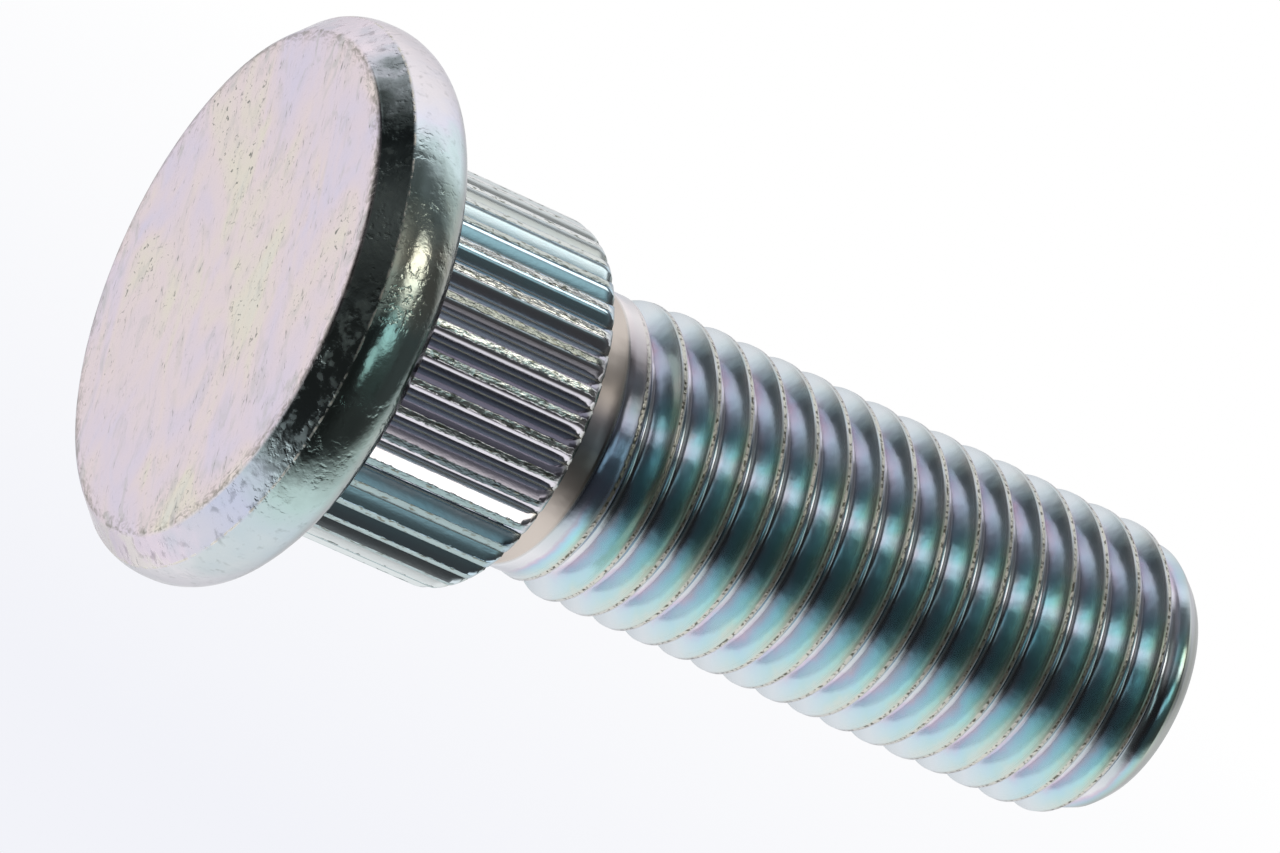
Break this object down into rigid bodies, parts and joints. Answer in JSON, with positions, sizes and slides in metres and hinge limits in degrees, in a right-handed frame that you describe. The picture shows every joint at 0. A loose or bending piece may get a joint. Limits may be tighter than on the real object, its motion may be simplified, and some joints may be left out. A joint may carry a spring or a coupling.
{
  "type": "wheel stud",
  "caption": "Press-in wheel stud with a round flat head, a straight-splined shoulder, a short neck and a fine-threaded shank that holds a wheel on its hub.",
  "frame": {"origin": "centre of the head's flat face, which the stud stands on", "axes": "+Z along the stud's axis from the head to the threaded end; X and Y lie in the head's face"},
  "size_m": [0.0222, 0.0222, 0.0415],
  "materials": {
    "plated_steel": "bright zinc plate with a thin iridescent clear passivate"
  },
  "bodies": {
    "root": {"wheel_stud": "plated_steel"}
  },
  "joints": []
}
